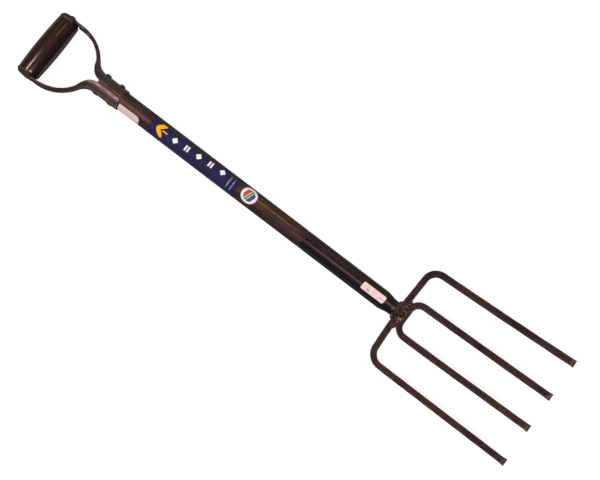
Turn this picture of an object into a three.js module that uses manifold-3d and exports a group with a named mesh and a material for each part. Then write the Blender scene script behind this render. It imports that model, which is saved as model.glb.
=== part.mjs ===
// Digging fork with a riveted D-handle, in millimetres.
// +X runs along the shaft towards the tine tips, +Y is the fork's right hand side seen from its
// front, and +Z is its front, the side that the tines lift towards. The fork lies on its back.
// Inside the assembly, x = 0 is the mouth of the steel socket and z = 0 is the shaft's axis.
import * as THREE from 'three';
import { mergeVertices } from 'three/addons/utils/BufferGeometryUtils.js';
import Module from 'manifold-3d';

const wasm = await Module();
wasm.setup();

// ---------------------------------------------------------------- driving dimensions
const degrees = THREE.MathUtils.degToRad;
const gap = 0.3; // between pieces that touch on the real fork

const shaftRadius = 16.5;
const shaftTop = -429; // upper end of the wood, between the straps
const socketWall = 1.7;
const socketStraight = 167; // where the socket starts to narrow
const neckStart = 188; // where it has narrowed to the neck
const neckHalfWidth = 13.2;
const neckHalfDepth = 9.5;
const tenonLength = 150;

const barSize = 11; // square bar that the tines are bent from
const barEdgeRadius = 1.3;
const crossbarX = 202; // middle of the crossbar
const headPitch = degrees(13.2); // the head leans forward from the shaft
const tineReach = 275; // crossbar middle to tine tips, along the head
const tineLift = 16.5; // extra forward curve at the tips
// The bars are bent by hand, so their left and right halves differ a little. Each half has its
// tine's distance from the middle, the corner's radius, the crossbar's droop and the tine's splay.
const outerLeft = { spacing: 92.53, corner: 24, droop: 0.046, splay: 0.014 };
const outerRight = { spacing: 92.5, corner: 22.2, droop: 0.04, splay: 0.014 };
const innerLeft = { spacing: 30.2, corner: 19.5, droop: 0, splay: 0.002 };
const innerRight = { spacing: 31.2, corner: 18.3, droop: 0, splay: -0.004 };
const innerOffset = 12.6; // inner bar's top below the crossbar
const tipWidth = 13.4;
const tipDepth = 4.2;
const tipLength = 13;

const gripX = -532.8; // axis of the grip and its rod
const gripRadius = 20.6;
const gripShoulderRadius = 18.7;
const gripEndRadius = 17;
const gripHalfLength = 60.6;
const gripOffset = -3.4; // the middle of the grip sits this far from the shaft's axis, to the left
const rodRadius = 4;
const earFace = 63.3; // outer face of a strap's ear, from the middle of the grip
const earRadius = 19.4;
const earDepth = 8.8;
const strapSheet = 2;
const strapRadius = shaftRadius + gap + strapSheet;
const strapEnd = -380; // lower edge of the straps, on the shaft
const strapBendStart = -429.7;
const strapWrap = degrees(84); // half the angle of the half tube on the shaft
const strapBend = degrees(54); // how far the arms turn out, on average
const strapBendRadii = [24, 72]; // out from the shaft, and back again towards the ear
const strapRivetX = [-424, -395];
const strapRivetRadius = 3;
const nailX = [18, 43];
const nailRadius = 1.6;
const nailLean = degrees(12); // round the socket from its front towards the right

// ---------------------------------------------------------------- solids
function toManifold(geometry) {
  const bare = geometry.clone();
  bare.deleteAttribute('normal');
  bare.deleteAttribute('uv');
  const merged = mergeVertices(bare, 1e-4);
  const mesh = new wasm.Mesh({
    numProp: 3,
    vertProperties: new Float32Array(merged.attributes.position.array),
    triVerts: new Uint32Array(merged.index.array),
  });
  return new wasm.Manifold(mesh);
}

function fromManifold(solid) {
  const mesh = solid.getMesh();
  const geometry = new THREE.BufferGeometry();
  geometry.setAttribute('position', new THREE.BufferAttribute(new Float32Array(mesh.vertProperties), 3));
  geometry.setIndex(new THREE.BufferAttribute(new Uint32Array(mesh.triVerts), 1));
  return geometry;
}

function cut(geometry, ...tools) {
  const solid = tools.reduce((rest, tool) => rest.subtract(toManifold(tool)), toManifold(geometry));
  return fromManifold(solid);
}

function join(...geometries) {
  const [first, ...others] = geometries.map(toManifold);
  return fromManifold(others.reduce((sum, solid) => sum.add(solid), first));
}

// A solid through a row of stations. Each station is an outline, counter-clockwise in its own
// plane, and a frame whose third axis points along the row.
function loft(stations) {
  const { outline } = stations[0];
  const count = outline.length;
  const positions = stations.flatMap((station) => station.outline.flatMap((point) => (
    new THREE.Vector3(point.x, point.y, 0).applyMatrix4(station.frame).toArray()
  )));
  const index = [];
  for (let i = 0; i < stations.length - 1; i += 1) {
    for (let j = 0; j < count; j += 1) {
      const a = i * count + j;
      const b = i * count + ((j + 1) % count);
      index.push(a, b, b + count, a, b + count, a + count);
    }
  }
  const last = (stations.length - 1) * count;
  for (const face of THREE.ShapeUtils.triangulateShape(outline, [])) {
    const turn = THREE.ShapeUtils.area(face.map((corner) => outline[corner]));
    const [a, b, c] = turn > 0 ? face : [...face].reverse();
    index.push(c, b, a, last + a, last + b, last + c);
  }
  const geometry = new THREE.BufferGeometry();
  geometry.setAttribute('position', new THREE.Float32BufferAttribute(positions, 3));
  geometry.setIndex(index);
  return geometry;
}

function frameAt(origin, across, up) {
  const along = new THREE.Vector3().crossVectors(across, up);
  return new THREE.Matrix4().makeBasis(across, up, along).setPosition(origin);
}

// The same solid on the other side of the fork's middle plane.
function mirrored(geometry) {
  const solid = toManifold(geometry).mirror([0, 1, 0]);
  return fromManifold(solid);
}

function turned(profile, segments) {
  const points = profile.map(([radius, height]) => new THREE.Vector2(radius, height));
  return new THREE.LatheGeometry(points, segments);
}

// Lathes turn about Y. This lays one along X, with its height running the same way as X.
function alongX(geometry) {
  return geometry.rotateZ(-Math.PI / 2);
}

function rod(radius, from, to, segments = 24) {
  return turned([[0, from], [radius, from], [radius, to], [0, to]], segments);
}

// ---------------------------------------------------------------- paths in a plane
// Follows legs of { length, turn } from a start point and heading, turning left by `turn`.
function walk(start, heading, legs, distance) {
  const point = start.clone();
  let left = distance;
  let angle = heading;
  for (const leg of legs) {
    const step = Math.min(left, leg.length);
    const turn = (leg.turn * step) / leg.length;
    const chord = turn === 0 ? step : (2 * step * Math.sin(turn / 2)) / turn;
    point.x += chord * Math.cos(angle + turn / 2);
    point.y += chord * Math.sin(angle + turn / 2);
    angle += turn;
    left -= step;
  }
  return { point, angle };
}

function legEnds(legs) {
  let sum = 0;
  return legs.map((leg) => {
    sum += leg.length;
    return sum;
  });
}

// Distances along the legs: each leg is cut in `steps` parts.
function distancesAlong(legs) {
  const ends = legEnds(legs);
  const marks = [0];
  legs.forEach((leg, i) => {
    for (let k = 1; k <= leg.steps; k += 1) {
      marks.push(ends[i] - leg.length + (leg.length * k) / leg.steps);
    }
  });
  return marks;
}

// ---------------------------------------------------------------- tines
// Square with cut corners, wide along the first axis.
function barOutline(width, depth) {
  const edge = Math.min(barEdgeRadius, depth / 3);
  const w = width / 2;
  const d = depth / 2;
  return [
    [w, edge - d], [w, d - edge], [w - edge, d], [edge - w, d],
    [-w, d - edge], [-w, edge - d], [edge - w, -d], [w - edge, -d],
  ].map(([x, y]) => new THREE.Vector2(x, y));
}

// Half of a bent bar, from the fork's middle plane out along the crossbar and down one tine.
// The walk is in the head's plane: x across the fork, y down towards the tips.
function barLegs({ spacing, corner, droop, splay }, top) {
  const turn = Math.PI / 2 - droop - splay;
  const acrossEnd = spacing - corner + corner * Math.sin(droop);
  const cornerDrop = corner * (Math.cos(droop) - Math.sin(splay));
  const crossbar = acrossEnd / Math.cos(droop);
  const drop = tineReach - top - acrossEnd * Math.tan(droop) - cornerDrop;
  const tine = drop / Math.cos(splay);
  return [
    { length: crossbar, turn: 0, steps: 2 },
    { length: corner * turn, turn, steps: 9 },
    { length: tine - tipLength, turn: 0, steps: 9 },
    { length: tipLength, turn: 0, steps: 3 },
  ];
}

function barStation(place, side, tip) {
  const reach = place.point.y;
  const lift = tineLift * Math.max(reach / tineReach, 0) ** 2;
  const slope = (2 * tineLift * Math.max(reach, 0)) / tineReach ** 2;
  const down = Math.sin(place.angle);
  const along = new THREE.Vector3(down, side * Math.cos(place.angle), slope * down);
  const front = new THREE.Vector3(-slope, 0, 1).normalize();
  const across = new THREE.Vector3().crossVectors(front, along.normalize());
  const width = THREE.MathUtils.lerp(barSize, tipWidth, tip ** 2);
  const depth = THREE.MathUtils.lerp(barSize, tipDepth, tip);
  const origin = new THREE.Vector3(reach, side * place.point.x, lift);
  return { outline: barOutline(width, depth), frame: frameAt(origin, across, front) };
}

function halfBar(half, top, side) {
  const legs = barLegs(half, top);
  const tineEnd = legEnds(legs).at(-1);
  return distancesAlong(legs).map((distance) => {
    const place = walk(new THREE.Vector2(0, top), half.droop, legs, distance);
    const tip = Math.max(0, (distance - tineEnd + tipLength) / tipLength);
    return barStation(place, side, tip);
  });
}

function bentBar(leftHalf, rightHalf, top) {
  const right = halfBar(rightHalf, top, 1);
  // The left half is walked from its tip back up, so its frames are turned end for end.
  const left = halfBar(leftHalf, top, -1).slice(1).reverse();
  left.forEach((station) => station.frame.multiply(new THREE.Matrix4().makeRotationY(Math.PI)));
  return loft([...left, ...right]);
}

// ---------------------------------------------------------------- welds
// Weld metal between the crossbar and one side of the inner bar's bend.
function shoulderWeld(side, inner, outer) {
  const bendCentre = new THREE.Vector2(innerOffset + inner.corner, inner.spacing - inner.corner);
  const outerRadius = inner.corner + barSize / 2 + gap;
  const top = barSize / 2 + gap;
  const weldEnd = 27;
  const reachEnd = Math.asin((weldEnd - bendCentre.y) / outerRadius);
  const crossbarDrop = (y) => top + y * Math.tan(outer.droop);
  const shape = new THREE.Shape();
  shape.moveTo(crossbarDrop(gap), gap);
  shape.lineTo(bendCentre.x - outerRadius, gap);
  shape.lineTo(bendCentre.x - outerRadius, bendCentre.y);
  const steps = 6;
  for (let k = 1; k <= steps; k += 1) {
    const angle = (reachEnd * k) / steps;
    const [back, out] = [outerRadius * Math.cos(angle), outerRadius * Math.sin(angle)];
    shape.lineTo(bendCentre.x - back, bendCentre.y + out);
  }
  shape.lineTo(crossbarDrop(weldEnd + 2), weldEnd + 2);
  const depth = barSize - 2;
  const solid = new THREE.ExtrudeGeometry(shape, { depth, bevelEnabled: false });
  solid.translate(0, 0, -depth / 2);
  return side > 0 ? solid : mirrored(solid);
}

// A low mound of weld over both bars, on the front (side = 1) or the back (side = -1).
function faceWeld(side) {
  const base = barSize / 2 + gap;
  const height = 4.2;
  const mound = new THREE.SphereGeometry(1, 24, 16);
  mound.scale(11.5, 17, height + 2);
  mound.translate(barSize / 2 + 1, 0, side * (base - 2));
  const room = new THREE.BoxGeometry(60, 60, 20);
  room.translate(0, 0, side * (base - 10));
  return cut(mound, room);
}

// ---------------------------------------------------------------- socket
function ovalOutline(halfWidth, halfDepth, count = 32) {
  return Array.from({ length: count }, (_, k) => {
    const angle = (2 * Math.PI * k) / count;
    return new THREE.Vector2(halfWidth * Math.cos(angle), halfDepth * Math.sin(angle));
  });
}

function ovalStation(x, halfWidth, halfDepth) {
  const frame = frameAt(new THREE.Vector3(x, 0, 0), new THREE.Vector3(0, 1, 0), new THREE.Vector3(0, 0, 1));
  return { outline: ovalOutline(halfWidth, halfDepth), frame };
}

const socketEnd = crossbarX - barSize / 2 / Math.cos(headPitch) - gap - 2;

// Half width and half depth of the socket's outside at x, grown by `extra`.
function socketStation(x, extra = 0) {
  const narrowing = THREE.MathUtils.smoothstep(x, socketStraight, neckStart);
  const halfWidth = THREE.MathUtils.lerp(shaftRadius, neckHalfWidth, narrowing);
  const halfDepth = THREE.MathUtils.lerp(shaftRadius, neckHalfDepth, narrowing);
  return ovalStation(x, halfWidth + extra, halfDepth + extra);
}

function neckMarks(steps) {
  return Array.from({ length: steps + 1 }, (_, k) => (
    socketStraight + ((neckStart - socketStraight) * k) / steps
  ));
}

function socket() {
  const outside = loft([0, ...neckMarks(6), socketEnd].map((x) => socketStation(x)));
  const boreRadius = shaftRadius - socketWall;
  const bore = alongX(turned([
    [0, -5], [boreRadius, -5], [boreRadius, tenonLength + 4], [9, tenonLength + 18], [0, tenonLength + 18],
  ], 32));
  return cut(outside, bore, ...nailHoles(5));
}

function neckWeld() {
  const collarTop = socketEnd - 6;
  const collar = loft([
    ovalStation(collarTop, neckHalfWidth + 1, neckHalfDepth + 1),
    ovalStation(collarTop + 3, neckHalfWidth + 2, neckHalfDepth + 1.6),
    ovalStation(socketEnd, neckHalfWidth + 4.5, neckHalfDepth + 2.4),
  ]);
  const neck = loft([neckStart - 20, socketEnd + 10].map((x) => (
    ovalStation(x, neckHalfWidth + gap, neckHalfDepth + gap)
  )));
  return cut(collar, neck);
}

// ---------------------------------------------------------------- wooden shaft
function shaft() {
  const tenonRadius = shaftRadius - socketWall - gap;
  const wood = alongX(turned([
    [0, shaftTop], [shaftRadius - 2, shaftTop], [shaftRadius, shaftTop + 2],
    [shaftRadius, -gap], [tenonRadius, -gap], [tenonRadius, tenonLength], [9, tenonLength + 12],
    [0, tenonLength + 12],
  ], 40));
  const rivetHoles = strapRivetX.map((x) => rod(strapRivetRadius + gap, -20, 20, 16).translate(x, 0, 0));
  return cut(wood, ...rivetHoles, ...nailHoles(-4));
}

function nailHoles(depth) {
  return nailX.map((x) => (
    rod(nailRadius + gap, depth, 25, 16).rotateX(Math.PI / 2 - nailLean).translate(x, 0, 0)
  ));
}

// A nail from the front of the socket into the wood, with a low domed head.
function socketNail() {
  const under = shaftRadius + gap;
  return turned([
    [0, -3], [nailRadius * 0.5, -2], [nailRadius, 1], [nailRadius, under], [2.6, under],
    [2.3, under + 0.7], [1.4, under + 1.1], [0, under + 1.2],
  ], 16).rotateX(Math.PI / 2 - nailLean);
}

// ---------------------------------------------------------------- strap handle
// Dished strip: its back touches the path, its two rims stand `depth` inside it, `halfWidth` apart
// from the middle. The outline's x is towards the fork's front and its y is out of the D.
function dishOutline(halfWidth, depth) {
  const radius = (halfWidth ** 2 + depth ** 2) / (2 * depth);
  const reach = Math.PI / 2 - Math.atan2(radius - depth, halfWidth);
  const steps = 12;
  const arc = (r, from, to) => Array.from({ length: steps + 1 }, (_, k) => {
    const angle = from + ((to - from) * k) / steps;
    return new THREE.Vector2(r * Math.sin(angle), r * Math.cos(angle) - radius);
  });
  return [...arc(radius, reach, -reach), ...arc(radius - strapSheet, -reach, reach)];
}

// The path of a strap's back, out from the shaft and up to its ear. The grip is off-centre, so
// the left strap bends further than the right one.
function strapLegs(side) {
  const bend = strapBend - side * degrees(3);
  const [outRadius, backRadius] = strapBendRadii;
  const radii = outRadius + backRadius;
  const earY = earFace - 0.2 + side * gripOffset;
  const slant = (earY - strapRadius - radii * (1 - Math.cos(bend))) / Math.sin(bend);
  const rise = strapBendStart - (gripX + 13.3);
  return [
    { length: strapEnd - strapBendStart, turn: 0, steps: 3 },
    { length: outRadius * bend, turn: -bend, steps: 8 },
    { length: slant, turn: 0, steps: 1 },
    { length: backRadius * bend, turn: bend, steps: 10 },
    { length: rise - radii * Math.sin(bend) - slant * Math.cos(bend), turn: 0, steps: 3 },
  ];
}

// Dish of the strap along its path: a half tube on the shaft, a shallow channel in the arms,
// wide again where it runs into the ear.
function dishAt(legs, distance) {
  const ends = legEnds(legs);
  const bend = THREE.MathUtils.smoothstep(distance, ends[0] - 3, ends[2]);
  const arm = THREE.MathUtils.smoothstep(distance, ends[2], ends[3]);
  const ear = THREE.MathUtils.smoothstep(distance, ends[3] - 16, ends[4]);
  const shaftHalfWidth = strapRadius * Math.sin(strapWrap);
  const shaftDepth = strapRadius * (1 - Math.cos(strapWrap));
  const halfWidth = THREE.MathUtils.lerp(shaftHalfWidth, 11, bend) + 2.5 * arm + 2.7 * ear;
  const depth = THREE.MathUtils.lerp(shaftDepth, 4.6, bend) + 0.6 * arm - 1.5 * ear;
  return dishOutline(halfWidth, depth);
}

function strapArm(side) {
  const legs = strapLegs(side);
  const start = new THREE.Vector2(strapEnd, strapRadius);
  return loft(distancesAlong(legs).map((distance) => {
    const { point, angle } = walk(start, Math.PI, legs, distance);
    const front = new THREE.Vector3(0, 0, 1);
    const outward = new THREE.Vector3(Math.sin(angle), -Math.cos(angle), 0);
    const back = new THREE.Vector3(point.x, point.y, 0);
    return { outline: dishAt(legs, distance), frame: frameAt(back, front, outward) };
  }));
}

// Cup that holds one end of the grip, open towards the arm.
function strapEar(side) {
  const wall = 1.8;
  const round = 9; // radius of the cup's rounded outer corner
  const holeRadius = rodRadius + gap;
  const rim = earFace - earDepth;
  const corner = (radius, from, to) => Array.from({ length: 5 }, (_, k) => {
    const angle = from + ((to - from) * k) / 4;
    return [earRadius - round + radius * Math.cos(angle), earFace - round + radius * Math.sin(angle)];
  }).map(([r, y]) => [r, Math.max(y, rim)]);
  const cup = turned([
    [holeRadius, earFace], [holeRadius, earFace - wall],
    ...corner(round - wall, Math.PI / 2, 0.02), ...corner(round, 0, Math.PI / 2),
    [holeRadius, earFace],
  ], 40);
  const armSide = new THREE.BoxGeometry(30, 12, 50);
  armSide.translate(8 + 15, earFace - strapSheet - 3 - 6, 0);
  const opened = cut(cup, armSide);
  return opened.translate(gripX, side * gripOffset, 0);
}

// One strap, made on the right hand side; `side` is -1 for the left one, which is mirrored.
function strap(side) {
  const body = join(strapArm(side), strapEar(side));
  const holes = strapRivetX.map((x) => rod(strapRivetRadius + gap, 0, 30, 16).translate(x, 0, 0));
  const whole = cut(body, ...holes);
  return side > 0 ? whole : mirrored(whole);
}

// Rivet through both straps and the wood: a domed head on the right, hammered over on the left.
function rivet(radius, reach, headRadius, headHeight, tailRadius, tailHeight) {
  const seat = reach + gap;
  return turned([
    [0, -seat - tailHeight], [tailRadius * 0.7, -seat - tailHeight], [tailRadius, -seat - tailHeight * 0.5],
    [tailRadius, -seat], [radius, -seat], [radius, seat], [headRadius, seat],
    [headRadius * 0.93, seat + headHeight * 0.45], [headRadius * 0.6, seat + headHeight * 0.87],
    [0, seat + headHeight],
  ], 24);
}

// ---------------------------------------------------------------- grip
function grip() {
  const holeRadius = rodRadius + gap;
  const seatEnd = earFace - earDepth - gap;
  const barrel = Array.from({ length: 9 }, (_, k) => {
    const y = -seatEnd + (2 * seatEnd * k) / 8;
    const swell = 1 - (y / seatEnd) ** 2;
    return [THREE.MathUtils.lerp(gripShoulderRadius, gripRadius, swell), y];
  });
  const end = [
    [gripEndRadius, seatEnd], [gripEndRadius - 0.2, gripHalfLength - 5.5], [15.5, gripHalfLength - 2.6],
    [11, gripHalfLength], [holeRadius, gripHalfLength],
  ];
  const otherEnd = end.map(([radius, y]) => [radius, -y]).reverse();
  return turned([...otherEnd, ...barrel, ...end, otherEnd[0]], 40);
}

// ---------------------------------------------------------------- paper labels
// A thin curved patch on the shaft or socket. `halfLength` gives half its length along the
// shaft at each share (-1 to 1) of its width, which is measured as an angle from the front.
function label({ x, fromAngle, toAngle, halfLength, steps, skew = 0 }) {
  const inside = shaftRadius + gap;
  const outside = inside + 0.3;
  const middle = (fromAngle + toAngle) / 2;
  const stations = Array.from({ length: steps + 1 }, (_, k) => {
    const share = 1 - (2 * k) / steps;
    const angle = middle + (share * (toAngle - fromAngle)) / 2;
    const half = halfLength(share);
    const shift = skew * share;
    const outline = [
      [shift - half, inside], [shift + half, inside], [shift + half, outside], [shift - half, outside],
    ].map(([u, v]) => new THREE.Vector2(u, v));
    const radial = new THREE.Vector3(0, Math.sin(angle), Math.cos(angle));
    return { outline, frame: frameAt(new THREE.Vector3(x, 0, 0), new THREE.Vector3(1, 0, 0), radial) };
  });
  return loft(stations);
}

const roundLabelRadius = 14.5;

const labels = {
  wrap_label: label({
    x: -227.3, fromAngle: degrees(-165), toAngle: degrees(33), halfLength: () => 90.4, steps: 24,
  }),
  round_label: label({
    x: -114.4,
    fromAngle: degrees(3.7) - roundLabelRadius / shaftRadius,
    toAngle: degrees(3.7) + roundLabelRadius / shaftRadius,
    halfLength: (share) => Math.max(roundLabelRadius * Math.sqrt(1 - share ** 2), 1.5),
    steps: 16,
  }),
  shaft_price_label: label({
    x: -356.7, fromAngle: degrees(-115), toAngle: degrees(-24), halfLength: () => 21.7, steps: 10,
  }),
  socket_price_label: label({
    x: 146.8, fromAngle: degrees(-31), toAngle: degrees(17), halfLength: () => 23.2, steps: 8, skew: 0.4,
  }),
};

// ---------------------------------------------------------------- assembly
const wood = { color: 0x3a2418, roughness: 0.45, metalness: 0 };
const steel = { color: 0x3b302d, roughness: 0.5, metalness: 0.6 };
const paper = { color: 0xf4ece8, roughness: 0.7, metalness: 0 };
const navy = { color: 0x1e1c55, roughness: 0.5, metalness: 0 };

function addTo(group, name, geometry, look) {
  const mesh = new THREE.Mesh(geometry, new THREE.MeshStandardMaterial(look));
  mesh.name = name;
  group.add(mesh);
  return mesh;
}

const fork = new THREE.Group();

const head = new THREE.Group();
head.position.set(crossbarX, 0, 0);
head.rotation.y = -headPitch;
fork.add(head);
const outerBar = bentBar(outerLeft, outerRight, 0);
const innerBar = bentBar(innerLeft, innerRight, innerOffset);
addTo(head, 'outer_tine_bar', outerBar, steel);
addTo(head, 'inner_tine_bar', innerBar, steel);
addTo(head, 'shoulder_weld_left', shoulderWeld(-1, innerLeft, outerLeft), steel);
addTo(head, 'shoulder_weld_right', shoulderWeld(1, innerRight, outerRight), steel);
addTo(head, 'front_weld', faceWeld(1), steel);
addTo(head, 'back_weld', faceWeld(-1), steel);

addTo(fork, 'socket', socket(), steel);
addTo(fork, 'neck_weld', neckWeld(), steel);
addTo(fork, 'shaft', shaft(), wood);
['upper', 'lower'].forEach((place, i) => {
  addTo(fork, `socket_nail_${place}`, socketNail(), steel).position.x = nailX[i];
  const strapRivet = rivet(strapRivetRadius, strapRadius, 5, 3.5, 4.4, 1.1);
  addTo(fork, `strap_rivet_${place}`, strapRivet, steel).position.x = strapRivetX[i];
});

addTo(fork, 'strap_right', strap(1), steel);
addTo(fork, 'strap_left', strap(-1), steel);
const handle = { grip: [grip(), wood], grip_rod: [rivet(rodRadius, earFace, 5.4, 3.3, 5, 1.2), steel] };
Object.entries(handle).forEach(([name, [geometry, look]]) => {
  addTo(fork, name, geometry, look).position.set(gripX, gripOffset, 0);
});

Object.entries(labels).forEach(([name, geometry]) => {
  addTo(fork, name, geometry, name === 'wrap_label' ? navy : paper);
});

// The origin is the middle of the fork's box, on the surface that it lies on.
const box = new THREE.Box3().setFromObject(fork, true);
const middle = box.getCenter(new THREE.Vector3());
fork.position.set(-middle.x, -middle.y, -box.min.z);

export default fork;
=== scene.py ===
"""Looks of the digging fork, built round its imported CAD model.

Lengths in the shape code are millimetres in the fork's own frame: x = 0 at the socket's mouth and
growing towards the tine tips, y to the fork's right, z = 0 on the shaft's axis and growing
towards its front. `new_piece` turns them into metres in the row frame.
"""

import math
from itertools import accumulate

import bmesh
import bpy
from mathutils import Matrix, Vector, noise


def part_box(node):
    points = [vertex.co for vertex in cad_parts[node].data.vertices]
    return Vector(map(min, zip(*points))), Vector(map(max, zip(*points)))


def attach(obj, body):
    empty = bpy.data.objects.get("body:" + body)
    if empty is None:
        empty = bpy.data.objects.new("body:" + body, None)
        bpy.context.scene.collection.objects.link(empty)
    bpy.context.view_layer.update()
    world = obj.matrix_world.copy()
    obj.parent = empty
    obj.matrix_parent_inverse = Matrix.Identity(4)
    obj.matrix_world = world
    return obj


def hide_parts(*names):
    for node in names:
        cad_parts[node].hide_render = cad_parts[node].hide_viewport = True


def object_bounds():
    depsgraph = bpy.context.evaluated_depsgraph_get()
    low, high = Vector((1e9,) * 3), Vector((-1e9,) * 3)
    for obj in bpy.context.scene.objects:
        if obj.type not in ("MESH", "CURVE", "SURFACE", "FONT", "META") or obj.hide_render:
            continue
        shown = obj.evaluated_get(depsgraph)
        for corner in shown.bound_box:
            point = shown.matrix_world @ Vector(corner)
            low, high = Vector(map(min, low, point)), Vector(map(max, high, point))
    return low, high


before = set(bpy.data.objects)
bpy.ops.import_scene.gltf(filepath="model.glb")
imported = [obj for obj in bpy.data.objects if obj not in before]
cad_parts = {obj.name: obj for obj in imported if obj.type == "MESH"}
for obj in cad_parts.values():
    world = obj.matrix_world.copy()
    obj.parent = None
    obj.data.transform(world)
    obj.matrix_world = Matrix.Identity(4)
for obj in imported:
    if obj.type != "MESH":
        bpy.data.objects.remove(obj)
cad_low, cad_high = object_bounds()

# ---- places taken from the frame
MM = 0.001
SOCKET_LOW, SOCKET_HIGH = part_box("socket")
SHAFT_LOW, SHAFT_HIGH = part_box("shaft")
_, STRAP_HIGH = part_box("strap_right")
GRIP_LOW, GRIP_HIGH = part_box("grip")
AXIS_Z = (SHAFT_LOW.z + SHAFT_HIGH.z) / 2
MOUTH_X = SOCKET_LOW.x
TO_ROW = Matrix.Translation((MOUTH_X, 0, AXIS_Z)) @ Matrix.Scale(MM, 4)


def fork_x(row_x):
    """A row-frame x in metres as millimetres from the socket's mouth."""
    return (row_x - MOUTH_X) / MM


# ---- dimensions, millimetres
SHAFT_RADIUS = (SHAFT_HIGH.y - SHAFT_LOW.y) / 2 / MM
SHAFT_TOP = fork_x(SHAFT_LOW.x)
TENON_TAPER = 150.0  # where the shaft's tenon starts to narrow
SOCKET_WALL = 1.7
SOCKET_STRAIGHT = 167.0
SOCKET_END = fork_x(SOCKET_HIGH.x)
NECK_START = 188.0
NECK_HALF_WIDTH = 13.2
NECK_HALF_DEPTH = 9.5

BAR_SIZE = 11.0
BAR_SKIN = BAR_SIZE - 0.05  # a little under the bar, so that its roughness stays inside it
BAR_EDGE = 1.6
CROSSBAR_X = 202.0
HEAD_PITCH = math.radians(13.2)
TINE_REACH = 275.0
TINE_LIFT = 16.4
TIP_LENGTH = 13.0
TIP_WIDTH = 13.2
TIP_DEPTH = 4.2
TIP_ROUNDING = 0.9
# The left (-1) and right (1) halves of each bar, bent by hand and so a little different.
OUTER_BAR = {
    -1: {"spacing": 92.53, "corner": 24.0, "droop": 0.046, "splay": 0.014},
    1: {"spacing": 92.5, "corner": 22.2, "droop": 0.04, "splay": 0.014},
}
INNER_BAR = {
    -1: {"spacing": 30.2, "corner": 19.5, "droop": 0.0, "splay": 0.002},
    1: {"spacing": 31.2, "corner": 18.3, "droop": 0.0, "splay": -0.004},
}
INNER_TOP = 12.6  # the inner bar's top below the crossbar

GRIP_X = fork_x((GRIP_LOW.x + GRIP_HIGH.x) / 2)
GRIP_OFFSET = (GRIP_LOW.y + GRIP_HIGH.y) / 2 / MM
GRIP_RADIUS = 20.5
GRIP_SHOULDER = 18.7
GRIP_END_RADIUS = 17.0
GRIP_HALF_LENGTH = (GRIP_HIGH.y - GRIP_LOW.y) / 2 / MM
EAR_FACE = STRAP_HIGH.y / MM - GRIP_OFFSET
EAR_RADIUS = 19.3
EAR_DEPTH = 8.8
ROD_HOLE = 4.3
STRAP_SHEET = 2.0
STRAP_RADIUS = SHAFT_RADIUS + 0.3 + STRAP_SHEET
STRAP_WRAP = math.radians(84)
STRAP_END = fork_x(STRAP_HIGH.x)
STRAP_BEND_START = -429.7
STRAP_BEND = math.radians(54)
STRAP_BEND_DIFFERENCE = math.radians(3)
STRAP_BEND_RADII = (24.0, 72.0)
STRAP_RIVET_X = (-424.0, -395.0)
NAIL_X = (18.0, 43.0)
NAIL_LEAN = math.radians(12)
PAPER = 0.13
PAINTED_WELD_GLINT = (208.0, -10.5)  # x and y of the painted glint on the weld

# Labels: x of the middle, angle of the middle round the shaft (towards the right), half sizes round
# and along the shaft.
WRAP_X, WRAP_ANGLE = -227.3, math.radians(-66)
WRAP_HALF_ROUND, WRAP_HALF = math.radians(99) * SHAFT_RADIUS, 90.3
WRAP_FRONT = -WRAP_ANGLE * SHAFT_RADIUS  # from the wrap label's middle round to the shaft's front
DISC_X, DISC_ANGLE, DISC_RADIUS = -114.4, math.radians(3.7), 14.5
SHAFT_PRICE_X, SHAFT_PRICE_ANGLE = -356.7, math.radians(-70.8)
SHAFT_PRICE_HALF_ROUND, SHAFT_PRICE_HALF = math.radians(43.7) * SHAFT_RADIUS, 21.5
SOCKET_PRICE_X, SOCKET_PRICE_ANGLE = 146.8, math.radians(-7)
SOCKET_PRICE_HALF_ROUND, SOCKET_PRICE_HALF = 6.7, 23.0


# ---- small mathematics
def lerp(a, b, share):
    """The value `share` of the way from a to b."""
    return a + (b - a) * share


def smooth(x, low, high):
    """0 below `low`, 1 above `high` and a smooth change between."""
    share = min(max((x - low) / (high - low), 0.0), 1.0)
    return share * share * (3 - 2 * share)


def steps_between(low, high, spacing):
    """Evenly spaced values from low to high, about `spacing` apart."""
    count = max(1, round(abs(high - low) / spacing))
    return [lerp(low, high, k / count) for k in range(count + 1)]


def walk(x, y, heading, legs, distance):
    """The point and heading after `distance` along legs of (length, turn)."""
    left = distance
    for length, turn in legs:
        step = min(left, length)
        bend = turn * step / length
        chord = step if bend == 0 else 2 * step * math.sin(bend / 2) / bend
        x += chord * math.cos(heading + bend / 2)
        y += chord * math.sin(heading + bend / 2)
        heading += bend
        left -= step
    return x, y, heading


def frame_at(origin, across, up):
    """Places a flat outline's x along `across` and its y along `up`."""
    along = across.cross(up)
    turn = Matrix((across, up, along)).transposed().to_4x4()
    return Matrix.Translation(origin) @ turn


# ---- meshes
def add_object(name, data):
    """A new object in the scene."""
    item = bpy.data.objects.new(name, data)
    bpy.context.scene.collection.objects.link(item)
    return item


def new_piece(name, verts, faces, sharp):
    """A smooth-shaded object from fork-frame millimetres, with edges over `sharp` degrees kept."""
    mesh = bpy.data.meshes.new(name)
    mesh.from_pydata([TO_ROW @ Vector(v) for v in verts], [], faces)
    bm = bmesh.new()
    bm.from_mesh(mesh)
    bmesh.ops.remove_doubles(bm, verts=bm.verts, dist=1e-7)
    bmesh.ops.recalc_face_normals(bm, faces=bm.faces)
    bm.to_mesh(mesh)
    bm.free()
    piece = add_object(name, mesh)
    shade(piece, sharp)
    return piece


def shade(piece, sharp):
    """Smooth shading, with edges over `sharp` degrees kept."""
    mesh = piece.data
    mesh.polygons.foreach_set("use_smooth", [True] * len(mesh.polygons))
    mesh.set_sharp_from_angle(angle=math.radians(sharp))


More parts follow.
